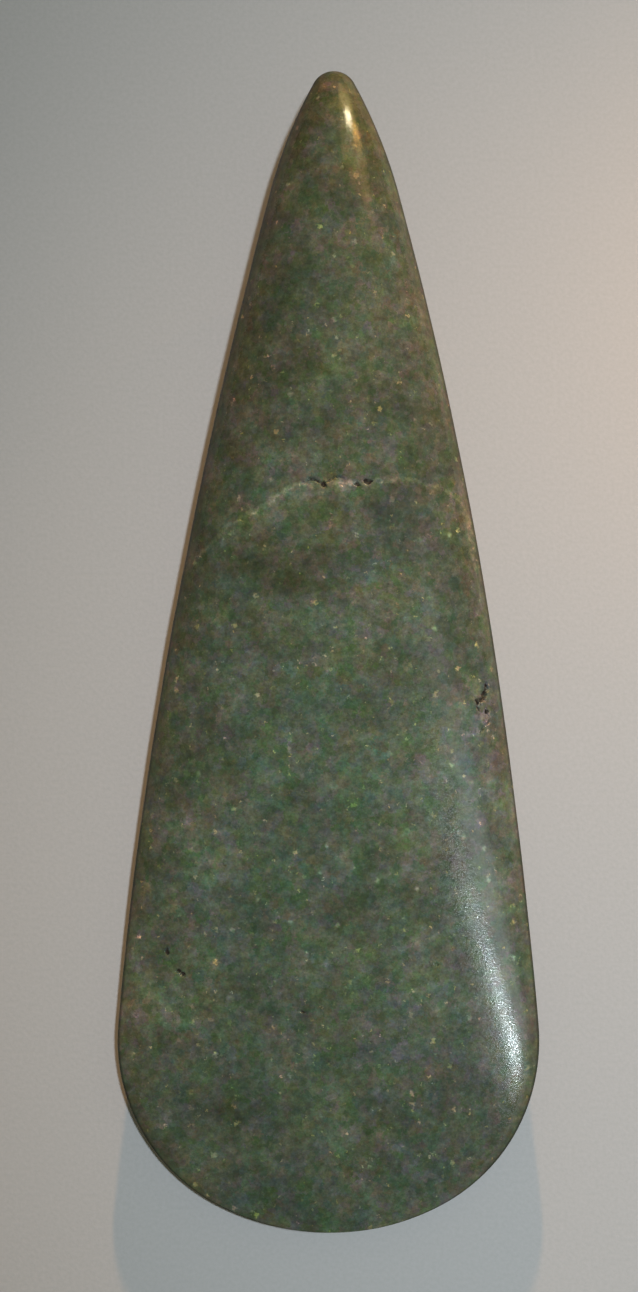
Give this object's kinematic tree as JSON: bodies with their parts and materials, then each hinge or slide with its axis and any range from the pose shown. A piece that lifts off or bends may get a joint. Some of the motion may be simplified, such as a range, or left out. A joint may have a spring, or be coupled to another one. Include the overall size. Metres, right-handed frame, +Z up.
{
  "type": "jadeite axe head",
  "caption": "Long drop-shaped stone axe head, ground and polished, thinning from a rounded pointed butt to a broad curved cutting edge.",
  "frame": {"origin": "on the surface it lies on, under the middle of its box", "axes": "+Y along the stone towards the butt, -Y towards the cutting edge, +X to the right seen from above with the butt at the top, +Z up"},
  "size_m": [0.0772, 0.2126, 0.021],
  "materials": {
    "jadeite": "ground and polished, mottled dark green with paler veins and a brown patina"
  },
  "bodies": {
    "root": {"axe_head": "jadeite"}
  },
  "joints": []
}
